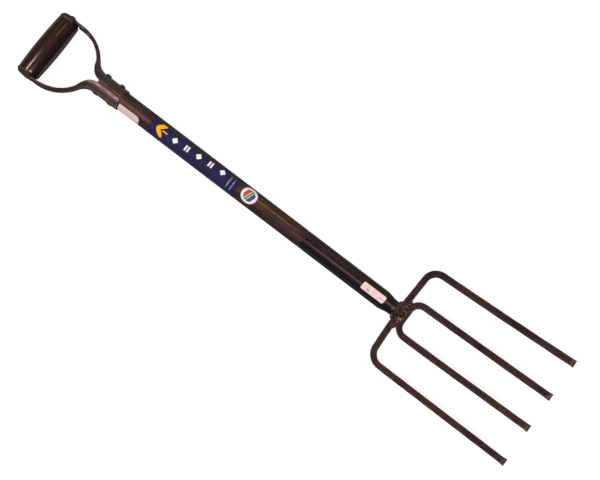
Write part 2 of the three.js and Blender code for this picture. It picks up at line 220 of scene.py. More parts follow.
def skin(rows, count, closed=False):
    """Faces between neighbouring rows of `count` points, and from the last row to the first."""
    faces = []
    for i in range(rows if closed else rows - 1):
        for j in range(count):
            k = (j + 1) % count
            low, high = i * count, ((i + 1) % rows) * count
            faces.append((low + j, low + k, high + k, high + j))
    return faces


def loft(stations, closed=False):
    """Vertices and faces through (outline, frame) stations; the ends are capped unless closed."""
    count = len(stations[0][0])
    verts = [place @ Vector((u, v, 0)) for outline, place in stations for u, v in outline]
    faces = skin(len(stations), count, closed)
    if not closed:
        last = len(verts) - count
        faces.append(tuple(range(count - 1, -1, -1)))
        faces.append(tuple(range(last, last + count)))
    return verts, faces


def oval(half_width, half_depth, count=72):
    """An oval outline."""
    return [
        (half_width * math.cos(2 * math.pi * k / count), half_depth * math.sin(2 * math.pi * k / count))
        for k in range(count)
    ]


def turned(profile, segments):
    """A solid of revolution about the local Z axis. The profile is (radius, height) pairs."""
    verts = [
        Vector((x, y, height)) for radius, height in profile for x, y in oval(radius, radius, segments)
    ]
    return verts, skin(len(profile), segments)


def moved(shape, matrix):
    """The (vertices, faces) shape, placed by the matrix."""
    verts, faces = shape
    return [matrix @ v for v in verts], faces


def joined(*shapes):
    """Several shapes as one."""
    verts, faces = [], []
    for more_verts, more_faces in shapes:
        start = len(verts)
        verts += more_verts
        faces += [tuple(start + i for i in face) for face in more_faces]
    return verts, faces


ALONG_X = Matrix.Rotation(math.pi / 2, 4, "Y")
ALONG_Y = Matrix.Rotation(-math.pi / 2, 4, "X")
MIRROR_Y = Matrix.Scale(-1, 4, (0, 1, 0))


def arc(centre, radius, start, end, count):
    """Points of an arc as (x, y) pairs; angles are in degrees."""
    points = []
    for k in range(count + 1):
        angle = math.radians(lerp(start, end, k / count))
        points.append((centre[0] + radius * math.cos(angle), centre[1] + radius * math.sin(angle)))
    return points


def roughen(piece, amount, size, seed, octaves=2):
    """Moves the surface in and out by about `amount` mm, in features of `size` mm."""
    mesh = piece.data
    offset = Vector((seed * 7.3, seed * 3.1, seed * 5.7))
    normals = [v.normal.copy() for v in mesh.vertices]
    for vertex, normal in zip(mesh.vertices, normals):
        spot = vertex.co / (size * MM) + offset
        vertex.co += normal * noise.fractal(spot, 0.6, 2.0, octaves) * amount * MM
    mesh.update()
    return piece


def apply_modifiers(piece):
    """Replaces the mesh by its shape after the modifiers."""
    graph = bpy.context.evaluated_depsgraph_get()
    mesh = bpy.data.meshes.new_from_object(piece.evaluated_get(graph))
    piece.modifiers.clear()
    old = piece.data
    piece.data = mesh
    bpy.data.meshes.remove(old)
    mesh.name = piece.name


def fuse(piece, voxel, soften):
    """Turns overlapping solids into one skin with soft inner corners."""
    remesh = piece.modifiers.new("skin", "REMESH")
    remesh.mode = "VOXEL"
    remesh.voxel_size = voxel * MM
    relax = piece.modifiers.new("soften", "SMOOTH")
    relax.factor = 0.5
    relax.iterations = soften
    apply_modifiers(piece)
    shade(piece, sharp=180)


def finish_piece(piece, material, replaces, body="fork"):
    """Gives the piece its material and body, and hides the CAD nodes that it stands for."""
    piece.data.materials.clear()
    piece.data.materials.append(material)
    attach(piece, body)
    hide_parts(*replaces)


# ---- material nodes
WARM_GLINT = (1.0, 0.66, 0.60, 1.0)


class Nodes:
    """Short calls for building a material's node tree."""

    def __init__(self, name):
        self.material = bpy.data.materials.new(name)
        self.material.use_nodes = True
        self.tree = self.material.node_tree
        self.tree.nodes.clear()
        self.shader = self.add("ShaderNodeBsdfPrincipled")
        self.add("ShaderNodeOutputMaterial", Surface=self.shader.outputs["BSDF"])
        self.colour = None

    def add(self, kind, **values):
        """A new node with these inputs."""
        node = self.tree.nodes.new(kind)
        self.fill(node, values)
        return node

    def fill(self, node, values):
        """Feeds a node's inputs, named with underscores for spaces."""
        for name, value in values.items():
            self.feed(node.inputs[name.replace("_", " ")], value)

    def feed(self, target, value):
        if isinstance(value, bpy.types.NodeSocket):
            self.tree.links.new(value, target)
        else:
            target.default_value = value

    def position(self, scale=(1, 1, 1)):
        """Row-frame position in metres, each axis multiplied by `scale`."""
        place = self.add("ShaderNodeTexCoord").outputs["Object"]
        return self.add("ShaderNodeMapping", Vector=place, Scale=scale).outputs["Vector"]

    def xyz(self):
        """The x, y and z of the row-frame position, in metres."""
        split = self.add("ShaderNodeSeparateXYZ", Vector=self.position())
        return [split.outputs[axis] for axis in "XYZ"]

    def math(self, operation, *values):
        node = self.add("ShaderNodeMath")
        node.operation = operation
        for socket, value in zip(node.inputs, values):
            self.feed(socket, value)
        return node.outputs[0]

    def plus(self, first, second):
        return self.math("ADD", first, second)

    def minus(self, first, second):
        return self.math("SUBTRACT", first, second)

    def times(self, first, *others):
        for other in others:
            first = self.math("MULTIPLY", first, other)
        return first

    def ramp(self, value, low, high, out_low=0.0, out_high=1.0):
        """Smooth change from `out_low` at `low` to `out_high` at `high`."""
        node = self.add("ShaderNodeMapRange", Value=value, From_Min=low, From_Max=high,
                        To_Min=out_low, To_Max=out_high)
        node.interpolation_type = "SMOOTHSTEP"
        return node.outputs["Result"]

    def band(self, value, middle, half, soft):
        """1 within `half` of the middle, fading to 0 over `soft`."""
        away = self.math("ABSOLUTE", self.minus(value, middle))
        return self.ramp(away, half, half + soft, 1.0, 0.0)

    def paint(self, share, colour):
        """Covers `share` of the material's colour so far."""
        self.colour = self.mix(share, self.colour, colour)

    def mix(self, share, first, second):
        node = self.add("ShaderNodeMix")
        node.data_type = "RGBA"
        self.feed(node.inputs[0], share)
        self.feed(node.inputs[6], rgba(first))
        self.feed(node.inputs[7], rgba(second))
        return node.outputs[2]

    def noise(self, size, detail=4.0, roughness=0.55, distortion=0.0, scale=(1, 1, 1)):
        """Noise with features of `size` metres, longer along an axis with a small scale."""
        node = self.add("ShaderNodeTexNoise", Vector=self.position(scale), Scale=1 / size,
                        Detail=detail, Roughness=roughness, Distortion=distortion)
        return node.outputs["Fac"]

    def cells(self, size):
        """Distance to the nearest of scattered points, about `size` metres apart."""
        node = self.add("ShaderNodeTexVoronoi", Vector=self.position(), Scale=1 / size)
        return node.outputs["Distance"]

    def edges(self, low, high):
        """0 on flat and hollow places, 1 on sharp edges."""
        return self.ramp(self.add("ShaderNodeNewGeometry").outputs["Pointiness"], low, high)

    def quiet_rim(self, shine):
        """`shine` where the surface faces the eye, and little of it where it turns away."""
        turned_away = self.add("ShaderNodeLayerWeight").outputs["Facing"]
        return self.times(shine, self.ramp(turned_away, 0.28, 0.66, 1.0, 0.02))

    def bump(self, height, strength, distance_mm):
        node = self.add("ShaderNodeBump", Strength=strength, Distance=distance_mm * MM, Height=height)
        self.set(Normal=node.outputs["Normal"])

    def varnish(self, shine, roughness):
        """The colour so far, under a varnish that glints warmly."""
        self.set(Base_Color=self.colour, Specular_IOR_Level=shine, Specular_Tint=WARM_GLINT,
                 Roughness=roughness)

    def set(self, **values):
        """Feeds the shader's inputs."""
        self.fill(self.shader, values)


def rgba(value):
    """A colour with its alpha added; anything else as it is."""
    return (*value, 1.0) if isinstance(value, tuple) and len(value) == 3 else value


def srgb(red, green, blue):
    """An 8-bit screen colour as linear light."""
    def channel(c):
        c /= 255
        return c / 12.92 if c <= 0.04045 else ((c + 0.055) / 1.055) ** 2.4
    return (channel(red), channel(green), channel(blue))


def forged_steel(name, base, dark, worn_and_highlight, roughness, specular, bump, edge_wear_and_highlight=0.8, tone=None, edge=0.56,
                 scale=1.0, wear_and_light=None):
    """Varnished hot-rolled steel: cloudy colour, mill scale (`scale` is how much) and pale rubbed edges,
    partly a painted highlight along sharp rims.
    """
    n = Nodes(name)
    clouds = n.ramp(n.noise(0.030, 5), 0.32, 0.68)
    grains = n.noise(0.0022, 6, 0.65)
    pits = n.ramp(n.cells(0.0032), 0.05, 0.28)
    n.colour = n.mix(clouds, dark, base)
    if tone is not None:
        n.paint(n.ramp(n.noise(0.055, 3), 0.42, 0.60, 0.0, 0.7), tone)
    mottles = n.noise(0.0055, 5, 0.65)
    n.paint(n.ramp(mottles, 0.36, 0.50, 0.55 * scale, 0.0), dark)
    n.paint(n.ramp(mottles, 0.56, 0.70, 0.0, 0.30 * scale), worn_and_highlight)
    n.paint(n.ramp(grains, 0.55, 0.72, 0.0, 0.45 * scale), worn_and_highlight)
    n.paint(n.ramp(grains, 0.28, 0.40, 0.5 * scale, 0.0), dark)
    # Pale sharp edges: rubbed varnish, and on the straps a painted highlight along the rims.
    patches = n.ramp(n.noise(0.009, 4), 0.35, 0.62, 0.15, edge_wear_and_highlight)
    n.paint(n.times(n.edges(0.505, edge), patches), worn_and_highlight)
    if wear_and_light is not None:
        wear_and_light(n)
    shine = specular(n) if callable(specular) else specular
    rough = n.ramp(n.noise(0.006, 5), 0.3, 0.7, roughness - 0.08, roughness + 0.10)
    n.varnish(n.quiet_rim(shine), rough)
    height = n.plus(n.times(grains, 0.6), n.times(pits, 0.5))
    n.bump(height, bump, 0.6)
    return n.material


def tine_wear(n):
    """A few rust specks, and varnish rubbed off the last centimetre of the tines."""
    rust = n.ramp(n.noise(0.007, 4, 0.6), 0.67, 0.72, 0.0, 0.8)
    n.paint(rust, srgb(92, 52, 33))
    x, _, _ = n.xyz()
    tip = cad_high.x
    near = n.ramp(x, tip - 0.013, tip - 0.006)
    patches = n.ramp(n.noise(0.005, 4, 0.6), 0.38, 0.60)
    n.paint(n.times(near, patches, 0.85), srgb(76, 58, 56))


def weld_steel():
    """Dark varnished weld: painted shade in the hollows, brown crowns, a painted glint patch and bare
    glints.
    """
    n = Nodes("weld_steel")
    clouds = n.ramp(n.noise(0.008, 5, 0.6), 0.35, 0.65)
    n.colour = n.mix(clouds, srgb(19, 13, 13), srgb(37, 26, 25))
    grains = n.noise(0.0030, 4, 0.6)
    n.paint(n.ramp(grains, 0.54, 0.70, 0.0, 0.5), srgb(66, 48, 46))
    crowns = n.times(n.edges(0.505, 0.545), n.ramp(n.noise(0.006, 3), 0.40, 0.60), 0.7)
    n.paint(crowns, srgb(104, 78, 74))
    # Painted shade: near black in the hollows between the beads.
    hollows = n.minus(1.0, n.edges(0.44, 0.49))
    n.paint(hollows, srgb(10, 7, 7))
    x, y, _ = n.xyz()
    # Painted highlight: a pale patch that stands in for a glint on the weld.
    glint_x, glint_y = MOUTH_X + PAINTED_WELD_GLINT[0] * MM, PAINTED_WELD_GLINT[1] * MM
    near = n.times(n.band(x, glint_x, 0.0025, 0.0030), n.band(y, glint_y, 0.0012, 0.0035))
    patches = n.ramp(n.noise(0.0024, 4, 0.6), 0.44, 0.56)
    n.paint(n.times(near, patches, 0.7), srgb(124, 97, 96))
    bare = n.ramp(n.noise(0.005, 3, 0.5), 0.52, 0.66, 0.06, 0.42)
    n.varnish(bare, n.ramp(n.noise(0.004, 4), 0.3, 0.7, 0.22, 0.36))
    n.bump(n.noise(0.0016, 4, 0.6), 0.14, 0.5)
    return n.material


def strap_painted_light(n):
    """Painted shade on the right strap's tube, and a painted paler stretch of light on the left strap's.
    """
    _, y, _ = n.xyz()
    n.paint(n.band(y, 0.0105, 0.0040, 0.0050), srgb(24, 16, 14))
    n.paint(n.band(y, -0.0085, 0.0015, 0.0030), srgb(58, 41, 37))


def strap_shine(n):
    """Less shine on the arms of the straps than on the shaft."""
    bend = MOUTH_X + STRAP_BEND_START * MM
    x, _, _ = n.xyz()
    return n.ramp(x, bend - 0.035, bend - 0.005, 0.095, 0.46)


def stained_wood(name, along, dark, base, light, roughness, specular, bump, streak_and_light):
    """Dark stained wood with grain along one axis, 'X' or 'Y'."""
    n = Nodes(name)
    scale = {"X": (0.06, 1, 1), "Y": (1, 0.06, 1)}[along]
    broad = n.ramp(n.noise(0.0075, 5, 0.6, 0.6, scale=scale), 0.30, 0.70)
    fibres = n.noise(0.0011, 6, 0.7, 0.3, scale=scale)
    streaks = n.ramp(n.noise(0.0032, 4, 0.6, 0.4, scale=scale), 0.50, 0.66)
    pores = n.ramp(n.noise(0.0006, 3, 0.6, scale=scale), 0.57, 0.70)
    n.colour = n.mix(broad, dark, base)
    n.paint(n.times(streaks, 0.45), light)
    n.paint(n.ramp(fibres, 0.48, 0.72, 0.0, 0.75), light)
    n.paint(n.ramp(n.noise(0.05, 3), 0.35, 0.7, 0.0, 0.35), dark)
    # Streaks, with painted light and shade, from the given function.
    streak_and_light(n, fibres, dark)
    n.paint(n.times(pores, 0.7), dark)
    n.varnish(n.quiet_rim(specular), n.ramp(broad, 0.2, 0.8, roughness * 0.92, roughness * 1.10))
    height = n.minus(n.times(fibres, 0.7), n.times(pores, 0.5))
    n.bump(height, bump, 0.35)
    return n.material


def golden_streak_and_painted_light(n, fibres, dark):
    """A golden strip below the round label, a painted highlight above the wrapped label, and painted
    shade: darker on the left, grey on the right.
    """
    x, y, z = n.xyz()
    wander = n.times(n.minus(fibres, 0.5), 0.004)
    wavy_y = n.plus(y, wander)
    front = n.ramp(z, AXIS_Z + 0.008, AXIS_Z + 0.012)
    # Painted shade: darker on the left side, and a dark grey on the right that stands in for a cool
    # reflection.
    n.paint(n.ramp(y, -0.0150, -0.0070, 0.7, 0.0), dark)
    n.paint(n.ramp(y, 0.0070, 0.0130, 0.0, 0.7), srgb(33, 29, 32))
    # Painted highlight: a pale strip along the front above the wrapped label.
    painted_highlight_strip = n.band(wavy_y, -0.0020, 0.0010, 0.0050)
    above_label = n.ramp(x, MOUTH_X - 0.330, MOUTH_X - 0.310, 0.45, 0.0)
    n.paint(n.times(painted_highlight_strip, front, above_label), srgb(86, 60, 56))
    strip = n.band(wavy_y, 0.0026, 0.0004, 0.0024)
    below_label = n.band(x, MOUTH_X - 0.075, 0.020, 0.055)
    n.paint(n.times(strip, front, below_label, 0.75), srgb(96, 62, 38))


def grip_streak_and_shade(n, fibres, dark):
    """Reddish mottles, a thin paler line on the grip's right half, and painted shade on the edge towards
    the shaft.
    """
    x, y, z = n.xyz()
    grip_middle = MOUTH_X + GRIP_X * MM
    mottles = n.ramp(n.noise(0.0030, 5, 0.65), 0.50, 0.64, 0.0, 0.55)
    n.paint(mottles, srgb(58, 33, 28))
    # Painted shade along the grip's edge towards the shaft.
    n.paint(n.ramp(x, grip_middle + 0.006, grip_middle + 0.014, 0.0, 0.7), dark)
    wander = n.times(n.minus(fibres, 0.5), 0.002)
    line = n.band(n.plus(x, wander), grip_middle + 0.0045, 0.0004, 0.0010)
    front = n.ramp(z, AXIS_Z + 0.008, AXIS_Z + 0.012)
    right = n.band(y, 0.030, 0.012, 0.006)
    n.paint(n.times(line, front, right, 0.6), srgb(83, 55, 40))


def socket_paint():
    """Black lacquer with rust specks near the mouth, a painted highlight line on the neck and painted
    shade on the left.
    """
    n = Nodes("socket_paint")
    clouds = n.ramp(n.noise(0.025, 5), 0.3, 0.7)
    n.colour = n.mix(clouds, srgb(22, 17, 17), srgb(30, 23, 22))
    x, y, z = n.xyz()
    specks = n.ramp(n.noise(0.0028, 5, 0.7), 0.60, 0.72)
    near_mouth = n.ramp(x, MOUTH_X + 0.02, MOUTH_X + 0.08, 1.0, 0.10)
    n.paint(n.times(specks, 0.7, near_mouth), srgb(83, 53, 36))
    scratches = n.ramp(n.noise(0.0016, 5, 0.7, scale=(0.05, 1, 1)), 0.60, 0.75, 0.0, 0.35)
    n.paint(scratches, srgb(62, 52, 52))
    n.paint(n.times(n.edges(0.51, 0.58), 0.5), srgb(72, 60, 58))
    # Painted highlight: a pale line along the front of the neck.
    line = n.band(y, -0.001, 0.0008, 0.0026)
    neck = n.ramp(x, MOUTH_X + 0.164, MOUTH_X + 0.170, 0.0, 0.45)
    front = n.ramp(z, AXIS_Z + 0.004, AXIS_Z + 0.007)
    n.paint(n.times(line, neck, front), srgb(92, 70, 68))
    # Painted shade: darker on the left side.
    left = n.ramp(y, -0.0110, -0.0030, 0.85, 0.0)
    n.paint(left, srgb(15, 15, 17))
    n.varnish(n.quiet_rim(0.075), n.ramp(n.noise(0.005, 5), 0.3, 0.7, 0.23, 0.31))
    height = n.plus(n.noise(0.004, 4), n.times(n.noise(0.0009, 4), 0.35))
    n.bump(height, 0.05, 0.5)
    return n.material


def paper(n, roughness, specular):
    """The printed colour on paper, with fine fibres in it."""
    fibres = n.noise(0.0006, 5, 0.7)
    rough = n.ramp(fibres, 0.3, 0.7, roughness - 0.08, roughness + 0.08)
    n.paint(n.ramp(fibres, 0.35, 0.75, 0.0, 0.10), (0.02, 0.02, 0.02))
    n.set(Base_Color=n.colour, Specular_IOR_Level=specular, Roughness=rough)
    n.bump(n.plus(fibres, n.noise(0.004, 3)), 0.12, 0.25)
    return n.material


class Print:
    """Flat printed shapes on a label, placed in millimetres of the label's own UV map."""

    def __init__(self, nodes):
        self.n = nodes
        source = nodes.add("ShaderNodeUVMap")
        source.uv_map = "print"
        split = nodes.add("ShaderNodeSeparateXYZ", Vector=source.outputs["UV"])
        self.u = nodes.times(split.outputs["X"], 1 / MM)
        self.v = nodes.times(split.outputs["Y"], 1 / MM)

    def turned(self, centre, degrees):
        """The place across and along a shape that is turned about its centre."""
        n = self.n
        cosine, sine = math.cos(math.radians(degrees)), math.sin(math.radians(degrees))
        du = n.minus(self.u, centre[0])
        dv = n.minus(self.v, centre[1])
        across = n.plus(n.times(du, cosine), n.times(dv, sine))
        along = n.minus(n.times(dv, cosine), n.times(du, sine))
        return across, along

    def oval(self, centre, radii, degrees=0.0, soft=0.12):
        n = self.n
        across, along = self.turned(centre, degrees)
        a = n.math("DIVIDE", across, radii[0])
        b = n.math("DIVIDE", along, radii[1])
        distance = n.math("SQRT", n.plus(n.times(a, a), n.times(b, b)))
        return n.ramp(distance, 1 - soft, 1 + soft, 1.0, 0.0)

    def box(self, centre, halves, degrees=0.0, soft=0.25):
        n = self.n
        across, along = self.turned(centre, degrees)
        a = n.minus(n.math("ABSOLUTE", across), halves[0])
        b = n.minus(n.math("ABSOLUTE", along), halves[1])
        return n.ramp(n.math("MAXIMUM", a, b), -soft, soft, 1.0, 0.0)

    def either(self, *shares):
        """1 where any of the shapes is."""
        total = shares[0]
        for share in shares[1:]:
            total = self.n.math("MAXIMUM", total, share)
        return total


# ---- labels
def label_patch(name, x_middle, around_middle, half_width, half_length, spacing=1.0, lift=0.12, edge=None):
    """A thin patch on the shaft. It is `2 * half_width` round the shaft and `edge(share)` gives its
    two ends along the shaft at each share, -1 to 1, of its width; plain labels are rectangles.
    Its UV map holds metres from the middle: u round the shaft, v along it."""
    edge = edge or (lambda share: (-half_length, half_length))
    inside, outside = SHAFT_RADIUS + lift, SHAFT_RADIUS + lift + PAPER
    rows = steps_between(-half_width, half_width, spacing)
    columns = max(2, round(2 * half_length / (spacing * 2)))
    verts, print_place = [], []
    for radius in (outside, inside):
        for around in rows:
            low, high = edge(around / half_width)
            angle = around_middle + around / SHAFT_RADIUS
            for k in range(columns + 1):
                along = lerp(low, high, k / columns)
                verts.append((x_middle + along, radius * math.sin(angle), radius * math.cos(angle)))
                print_place.append((around * MM, along * MM))
    width, layer = columns + 1, len(rows) * (columns + 1)
    last = len(rows) - 1
    faces = []
    for i in range(last):
        for j in range(columns):
            a = i * width + j
            faces.append((a, a + width, a + width + 1, a + 1))
            faces.append((layer + a, layer + a + 1, layer + a + width + 1, layer + a + width))
    rim = list(range(columns))
    rim += [i * width + columns for i in range(last)]
    rim += [last * width + j for j in range(columns, 0, -1)]
    rim += [i * width for i in range(last, 0, -1)]
    for here, there in zip(rim, rim[1:] + rim[:1]):
        faces.append((here, there, layer + there, layer + here))
    piece = new_piece(name, verts, faces, sharp=50)
    layer_uv = piece.data.uv_layers.new(name="print")
    for loop in piece.data.loops:
        layer_uv.data[loop.index].uv = print_place[loop.vertex_index]
    return piece


# ---- head
def bar_outline(width, depth):
    """Rectangle with rounded edges, counter-clockwise, with points along its flats."""
    edge = min(BAR_EDGE, depth * 0.35)
    half_w, half_d = width / 2 - edge, depth / 2 - edge
    corners = [
        arc((across * half_w, up * half_d), edge, 90 * i, 90 * i + 90, 4)
        for i, (across, up) in enumerate(((1, 1), (-1, 1), (-1, -1), (1, -1)))
    ]
    outline = []
    for corner, following in zip(corners, corners[1:] + corners[:1]):
        outline += corner
        for share in (1 / 3, 2 / 3):
            outline.append([lerp(a, b, share) for a, b in zip(corner[-1], following[0])])
    return outline


def bar_legs(top, spacing, corner, droop, splay):
    """Half of a bent bar as (length, turn) legs: crossbar, corner and tine."""
    turn = math.pi / 2 - droop - splay
    across_end = spacing - corner + corner * math.sin(droop)
    corner_drop = corner * (math.cos(droop) - math.sin(splay))
    drop = TINE_REACH - top - across_end * math.tan(droop) - corner_drop
    return [(across_end / math.cos(droop), 0.0), (corner * turn, turn), (drop / math.cos(splay), 0.0)]


def bar_station(top, droop, legs, distance, side):
    """The bar's outline and frame at a distance along one half; the tip widens and flattens."""
    across, reach, heading = walk(0.0, top, droop, legs, distance)
    total = sum(length for length, _ in legs)
    tip = max(0.0, (distance - total + TIP_LENGTH) / TIP_LENGTH)
    lift = TINE_LIFT * (max(reach, 0) / TINE_REACH) ** 2
    slope = 2 * TINE_LIFT * max(reach, 0) / TINE_REACH ** 2
    along = Vector((math.sin(heading), side * math.cos(heading), slope * math.sin(heading))).normalized()
    front = Vector((-slope, 0, 1)).normalized()
    if side < 0:
        along = -along
    width = lerp(BAR_SKIN, TIP_WIDTH, tip ** 2)
    depth = lerp(BAR_SKIN, TIP_DEPTH, tip)
    rounded = max(0.0, distance - total + TIP_ROUNDING)
    width -= 1.1 * rounded ** 2
    depth -= 1.3 * rounded ** 2
    place = frame_at(Vector((reach, side * across, lift)), front.cross(along), front)
    return bar_outline(width, depth), place


HEAD = Matrix.Translation((CROSSBAR_X, 0, 0)) @ Matrix.Rotation(-HEAD_PITCH, 4, "Y")


def half_bar(half, top, side):
    """Stations from the fork's middle plane out along the crossbar and down one tine."""
    legs = bar_legs(top, **half)
    total = sum(length for length, _ in legs)
    tip_start = total - TIP_LENGTH
    marks = steps_between(0, tip_start, 2.5) + steps_between(tip_start, total - 1, 1.0)[1:]
    marks += [total - 0.6, total - 0.25, total]
    return [bar_station(top, half["droop"], legs, distance, side) for distance in marks]


def bent_bar(name, halves, top, seed):
    """A whole bar, from the left tine's tip over the crossbar to the right tine's tip."""
    left = half_bar(halves[-1], top, -1)[1:]
    right = half_bar(halves[1], top, 1)
    piece = new_piece(name, *moved(loft(left[::-1] + right), HEAD), sharp=50)
    roughen(piece, 0.22, 22, seed)
    return roughen(piece, 0.10, 5, seed + 3)


# ---- welds
noise.seed_set(1)  # unseeded, `noise_vector` differs in each run


def blob(x, y, z, rx, ry, rz):
    """An ellipsoid with its three radii."""
    profile = [(max(math.sin(math.pi * k / 10), 1e-4), -math.cos(math.pi * k / 10)) for k in range(11)]
    return moved(turned(profile, 14), Matrix.LocRotScale(Vector((x, y, z)), None, Vector((rx, ry, rz))))


def bead(points, radius, height, seed):
    """A run of overlapping drops of weld through (x, y, z) points of the head's frame."""
    shapes = []
    for i, (first, second) in enumerate(zip(points, points[1:])):
        start, end = Vector(first), Vector(second)
        for k, share in enumerate(steps_between(0, 1, 1.9 / max((end - start).length, 0.1))):
            spot = start.lerp(end, share)
            spot += noise.noise_vector(spot * 0.31 + Vector((seed, i, k))) * 0.7
            size = radius * (1 + 0.22 * noise.noise(spot * 0.5 + Vector((0, seed, 0))))
            shapes.append(blob(spot.x, spot.y, spot.z, size, size, height * size / radius))
    return shapes


def ring_points(x, half_width, half_depth, count=20):
    """A closed oval of (x, y, z) points across the neck."""
    ring = oval(half_width, half_depth, count)
    return [(x, y, z) for y, z in ring + ring[:1]]


def weld_metal():
    """All the weld on the head: over both bars front and back, at the shoulders and round the neck.
    Places are in the head's frame, x from the crossbar's middle line towards the tips."""
    half = BAR_SIZE / 2
    shapes = []
    for side in (1, -1):
        face = side * (half - 0.6)
        shapes += bead([(-4, -13, face), (-2.5, 0, face + side), (-4, 13, face)], 4.0, 3.6, 1 + side)
        shapes += bead([(1, -12, face), (2, 0, face + side * 0.6), (1, 12, face)], 4.0, 3.2, 3 + side)
        shapes += bead([(6.5, -18, face), (5.8, -6, face + side * 0.9), (6.5, 3, face), (6, 16, face)],
                       3.2, 3.0, 5 + side)
        shapes += bead([(10.5, -9, face), (10, 9, face)], 3.0, 2.0, 8 + side)
    for side in (1, -1):
        for z in (-3, 0, 3):
            path = [(x, side * y, z) for x, y in ((5.6, 0), (5.8, 12), (6.8, 20), (7.6, 25.5))]
            shapes += bead(path, 2.0, 2.2, 11 + z)
        shapes += [blob(7.0, side * 20, 0, 2.6, 5.0, 4.3), blob(8.6, side * 23.5, 0, 2.4, 4.0, 4.2)]
    shapes += bead(ring_points(-6.4, NECK_HALF_WIDTH + 0.4, NECK_HALF_DEPTH - 0.6), 2.6, 2.4, 21)
    shapes += bead(ring_points(-3.8, NECK_HALF_WIDTH + 1.9, NECK_HALF_DEPTH - 0.8), 2.7, 2.6, 23)
    shapes.append(blob(-4, 0, 0, 5.5, NECK_HALF_WIDTH + 1, NECK_HALF_DEPTH))
    shapes.append(blob(INNER_TOP / 2 + 1, 0, 0, 6, 13, 5.2))
    piece = new_piece("weld_metal", *moved(joined(*shapes), HEAD), sharp=180)
    fuse(piece, 0.55, 4)
    return roughen(piece, 1.5, 5.0, 31)


# ---- socket and shaft
def oval_station(x, half_width, half_depth):
    return oval(half_width, half_depth), frame_at(Vector((x, 0, 0)), Vector((0, 1, 0)), Vector((0, 0, 1)))


def socket_station(x, inset=0.0):
    """The socket's outline at x: round at first, narrowing to the oval neck."""
    narrow = smooth(x, SOCKET_STRAIGHT, NECK_START)
    half_width = lerp(SHAFT_RADIUS, NECK_HALF_WIDTH, narrow)
    half_depth = lerp(SHAFT_RADIUS, NECK_HALF_DEPTH, narrow)
    return oval_station(x, half_width - inset, half_depth - inset)


def socket():
    """Tube with a rolled rim at the mouth, open as far as the shaft's tenon reaches."""
    bore = SHAFT_RADIUS - SOCKET_WALL
    bore_end = SOCKET_STRAIGHT - 6
    inside = [oval_station(bore_end + 10, 6, 6)]
    inside += [oval_station(x, bore, bore) for x in steps_between(bore_end, 0.5, 16)]
    rim = [oval_station(0.1, bore + 0.3, bore + 0.3), socket_station(0, 0.5), socket_station(0.15, 0.15)]
    outside = [socket_station(x) for x in steps_between(0.5, SOCKET_STRAIGHT - 3, 4)]
    outside += [socket_station(x) for x in steps_between(SOCKET_STRAIGHT - 2, SOCKET_END, 1.5)]
    piece = new_piece("socket_tube", *loft(inside + rim + outside), sharp=40)
    roughen(piece, 0.10, 30, 41)
    return roughen(piece, 0.03, 6, 43)


def wooden_shaft():
    """Round shaft with a softened top end and a tenon inside the socket."""
    tenon = SHAFT_RADIUS - SOCKET_WALL - 0.3
    profile = [(radius, SHAFT_TOP) for radius in (0.01, 6, 12)]
    softened = ((-2, 0), (-1.2, 0.3), (-0.4, 1.0), (0, 2.2))
    profile += [(SHAFT_RADIUS + radius, SHAFT_TOP + x) for radius, x in softened]
    profile += [(SHAFT_RADIUS, x) for x in steps_between(SHAFT_TOP + 6, -4, 8)]
    profile += [(SHAFT_RADIUS, -0.8), (SHAFT_RADIUS - 0.25, -0.35), (tenon, -0.3)]
    profile += [(tenon, x) for x in steps_between(4, TENON_TAPER, 24)]
    profile += [(9, TENON_TAPER + 12), (0.01, TENON_TAPER + 12)]
    piece = new_piece("wooden_shaft", *moved(turned(profile, 96), ALONG_X), sharp=40)
    return roughen(piece, 0.12, 60, 47)


def nail(name, x):
    """A nail with a flat domed head on the socket's wall."""
    seat = SHAFT_RADIUS + 0.05
    head = ((1.6, 0), (2.6, 0), (2.75, 0.25), (2.5, 0.7), (1.9, 1.0), (1.0, 1.18), (0.01, 1.22))
    profile = [(0.01, -3), (0.8, -2), (1.6, 1)] + [(radius, seat + height) for radius, height in head]
    turn = Matrix.Translation((x, 0, 0)) @ Matrix.Rotation(-NAIL_LEAN, 4, "X")
    piece = new_piece(name, *moved(turned(profile, 28), turn), sharp=50)
    return roughen(piece, 0.12, 1.6, x)


# ---- strap handle
def dish(half_width, depth, lower_corner=0.0):
    """Section of the strap: x towards the front, y out of the D, its back at y = 0."""
    radius = (half_width ** 2 + depth ** 2) / (2 * depth)
    reach = math.pi / 2 - math.atan2(radius - depth, half_width) - lower_corner / radius
    count = 40
    outer = [lerp(reach, -reach, k / count) for k in range(count + 1)]
    outline = [(radius * math.sin(a), radius * math.cos(a) - radius) for a in outer]
    inner = radius - STRAP_SHEET
    outline += [(inner * math.sin(a), inner * math.cos(a) - radius) for a in reversed(outer)]
    return outline


def strap_legs(side):
    """The path of a strap's back. The grip is off-centre, so the left strap bends further."""
    bend = STRAP_BEND - side * STRAP_BEND_DIFFERENCE
    out_radius, back_radius = STRAP_BEND_RADII
    radii = out_radius + back_radius
    ear_y = EAR_FACE - 0.2 + side * GRIP_OFFSET
    slant = (ear_y - STRAP_RADIUS - radii * (1 - math.cos(bend))) / math.sin(bend)
    rise = STRAP_BEND_START - (GRIP_X + 13.3)
    return [
        (STRAP_END - STRAP_BEND_START, 0.0),
        (out_radius * bend, -bend),
        (slant, 0.0),
        (back_radius * bend, bend),
        (rise - radii * math.sin(bend) - slant * math.cos(bend), 0.0),
    ]


